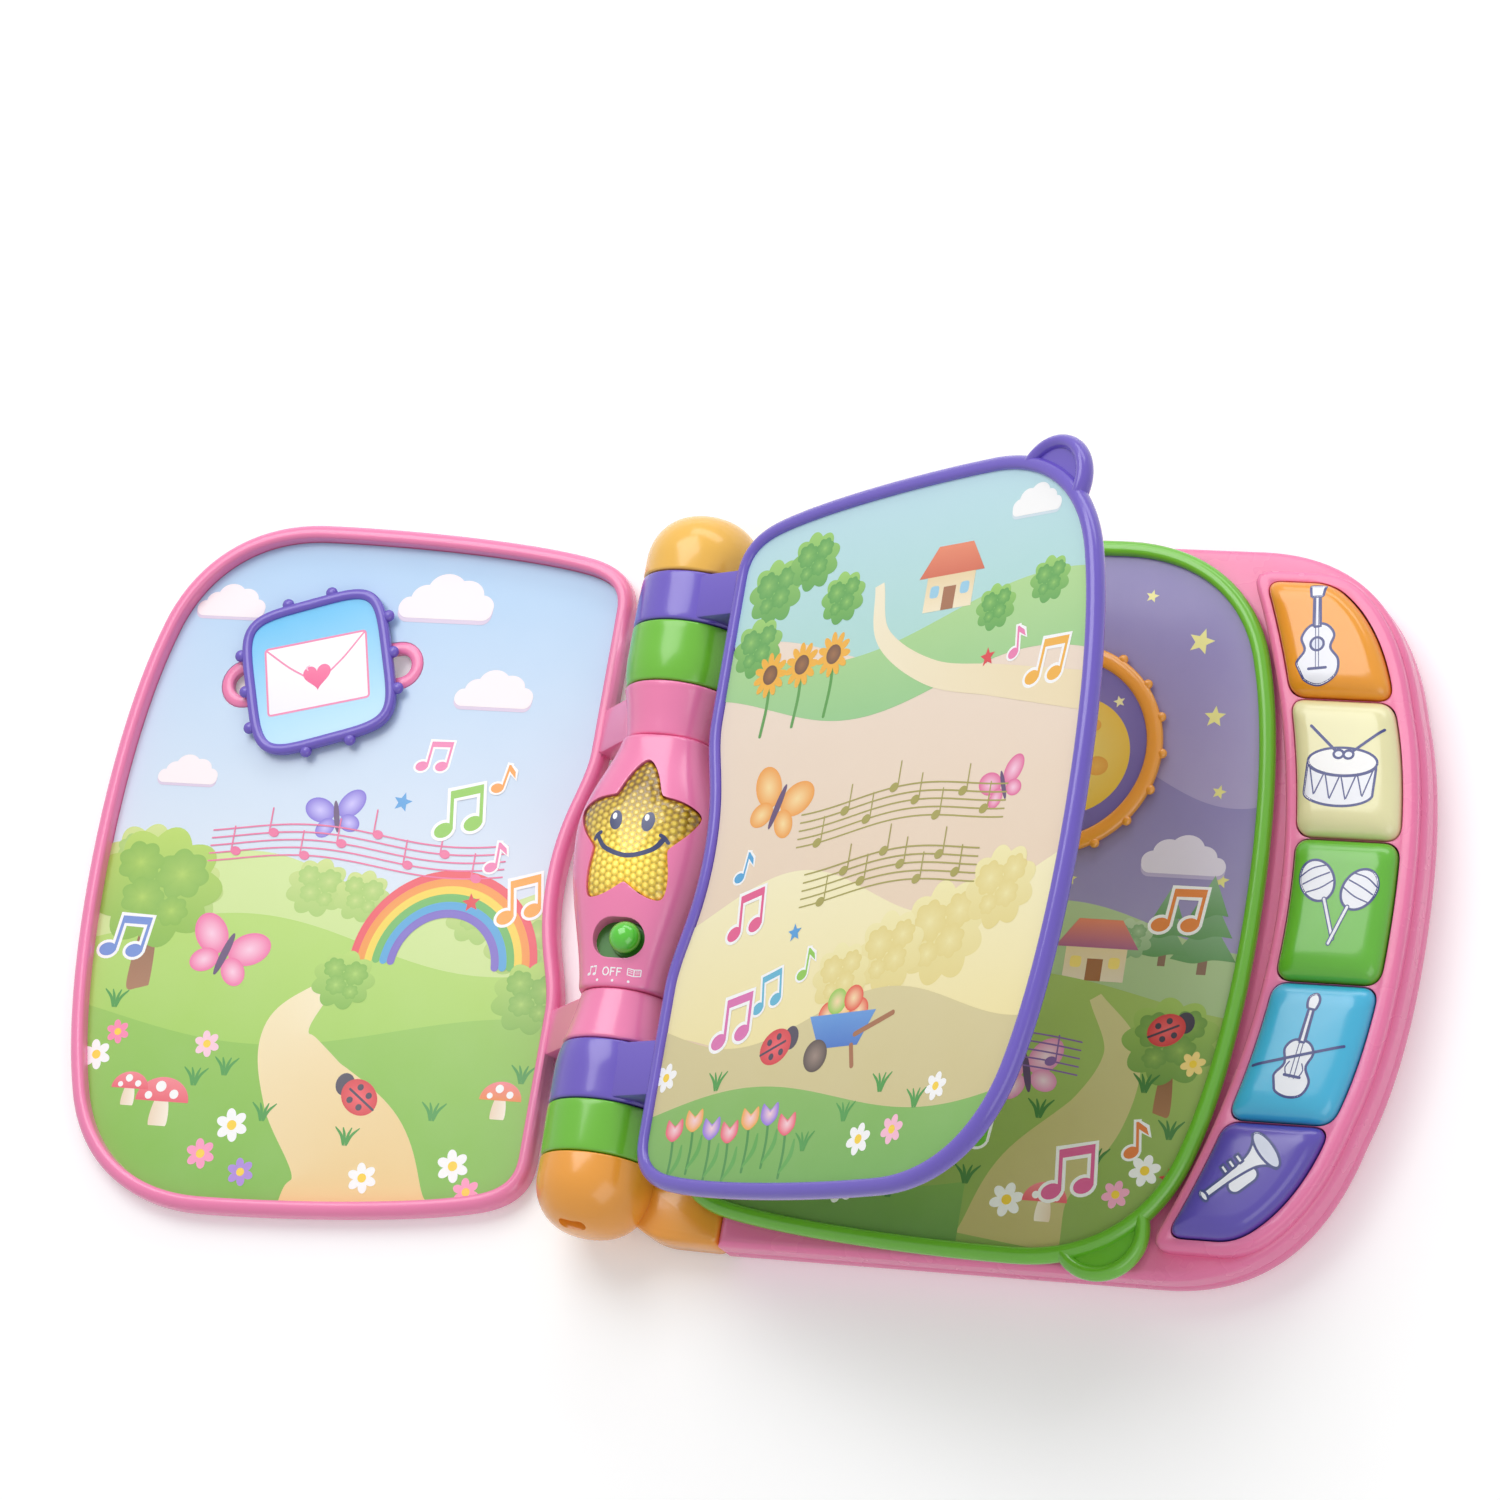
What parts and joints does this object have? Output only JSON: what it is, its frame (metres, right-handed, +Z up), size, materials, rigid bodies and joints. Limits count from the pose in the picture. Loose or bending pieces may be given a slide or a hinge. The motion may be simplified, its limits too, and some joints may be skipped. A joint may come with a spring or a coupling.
{
  "type": "sound book",
  "caption": "Open nursery sound book: keyed base, ring-hinged spine with a star light, two turning pages and a cover, a sliding picture tile and a turning dial.",
  "frame": {"origin": "centre of the open book's footprint, on the table", "axes": "+Z up from the table, +Y along the spine towards the top of the pages, +X from the cover towards the keys"},
  "size_m": [0.4474, 0.2376, 0.1207],
  "materials": {
    "pink_plastic": "glossy moulded ABS",
    "purple_plastic": "glossy moulded ABS",
    "green_plastic": "glossy moulded ABS",
    "orange_plastic": "glossy moulded ABS",
    "cream_plastic": "glossy moulded ABS",
    "cyan_plastic": "glossy moulded ABS",
    "violet_plastic": "glossy moulded ABS",
    "grey_plastic": "moulded nylon",
    "black_plastic": "moulded",
    "grey_rubber": "silicone sheet",
    "star_lens": "dimpled translucent polycarbonate",
    "lamp": "clear lamp",
    "circuit_board": "lacquered board",
    "steel": "plated steel",
    "sky_print": "laminated printed card",
    "farm_print": "laminated printed card",
    "night_print": "laminated printed card",
    "meadow_print": "laminated printed card",
    "base_print": "laminated printed card",
    "cover_print": "laminated printed card"
  },
  "bodies": {
    "base": {"base_lower_shell": "pink_plastic", "base_upper_shell": "pink_plastic", "base_picture_card": "base_print", "circuit_board": "circuit_board", "key_contact_sheet": "grey_rubber", "speaker": "black_plastic", "speaker_magnet": "steel", "battery_1": "steel", "battery_2": "steel", "battery_spring_contact": "steel", "battery_plate_contact": "steel", "battery_door": "pink_plastic", "battery_door_screw": "steel", "case_screw_1": "steel", "case_screw_2": "steel", "case_screw_3": "steel", "case_screw_4": "steel", "star_housing_front": "pink_plastic", "star_housing_rear": "pink_plastic", "star_lens": "star_lens", "star_light_board": "circuit_board", "star_light": "lamp", "switch_body": "black_plastic", "spine_tube_top": "grey_plastic", "spine_tube_bottom": "grey_plastic", "spine_cap_top": "orange_plastic", "spine_cap_bottom": "orange_plastic"},
    "key_1": {"key_orange": "orange_plastic"},
    "key_2": {"key_cream": "cream_plastic"},
    "key_3": {"key_green": "green_plastic"},
    "key_4": {"key_cyan": "cyan_plastic"},
    "key_5": {"key_purple": "violet_plastic"},
    "switch": {"mode_switch": "green_plastic"},
    "green_page": {"green_page_frame": "green_plastic", "green_page_top_card": "night_print", "green_page_under_card": "meadow_print"},
    "dial": {"moon_dial": "orange_plastic", "dial_retainer": "grey_plastic"},
    "purple_page": {"purple_page_frame": "purple_plastic", "purple_page_top_card": "farm_print", "purple_page_under_card": "meadow_print"},
    "cover": {"cover_frame": "pink_plastic", "cover_inner_card": "sky_print", "cover_outer_card": "cover_print"},
    "slider": {"letter_slider": "purple_plastic", "slider_back_plate": "grey_plastic"}
  },
  "joints": [
    {"name": "cover_turn", "type": "hinge", "parent": "base", "child": "cover", "pos_m": [-0.02375, 0, 0.01965], "axis": [0, 1, 0], "range_deg": [0, 152.5]},
    {"name": "purple_page_turn", "type": "hinge", "parent": "base", "child": "purple_page", "pos_m": [-0.02375, 0, 0.01965], "axis": [0, -1, 0], "range_deg": [-27.5, 152.5]},
    {"name": "green_page_turn", "type": "hinge", "parent": "base", "child": "green_page", "pos_m": [-0.02375, 0, 0.01965], "axis": [0, -1, 0], "range_deg": [0, 27.5]},
    {"name": "dial_turn", "type": "hinge", "parent": "green_page", "child": "dial", "pos_m": [0.10365, 0.0468, 0.0235], "axis": [0, 0, 1], "continuous": true},
    {"name": "letter_slide", "type": "slide", "parent": "cover", "child": "slider", "axis": [0.9869, 0.1616, 0], "range_m": [-0.01, 0.01]},
    {"name": "switch_slide", "type": "slide", "parent": "base", "child": "switch", "axis": [1, 0, 0], "range_m": [-0.0052, 0]},
    {"name": "key_1_press", "type": "slide", "parent": "base", "child": "key_1", "axis": [0, 0, -1], "range_m": [0, 0.002], "stiffness_N_per_m": 250, "springref_m": -0.001},
    {"name": "key_2_press", "type": "slide", "parent": "base", "child": "key_2", "axis": [0, 0, -1], "range_m": [0, 0.002], "stiffness_N_per_m": 250, "springref_m": -0.001},
    {"name": "key_3_press", "type": "slide", "parent": "base", "child": "key_3", "axis": [0, 0, -1], "range_m": [0, 0.002], "stiffness_N_per_m": 250, "springref_m": -0.001},
    {"name": "key_4_press", "type": "slide", "parent": "base", "child": "key_4", "axis": [0, 0, -1], "range_m": [0, 0.002], "stiffness_N_per_m": 250, "springref_m": -0.001},
    {"name": "key_5_press", "type": "slide", "parent": "base", "child": "key_5", "axis": [0, 0, -1], "range_m": [0, 0.002], "stiffness_N_per_m": 250, "springref_m": -0.001}
  ]
}
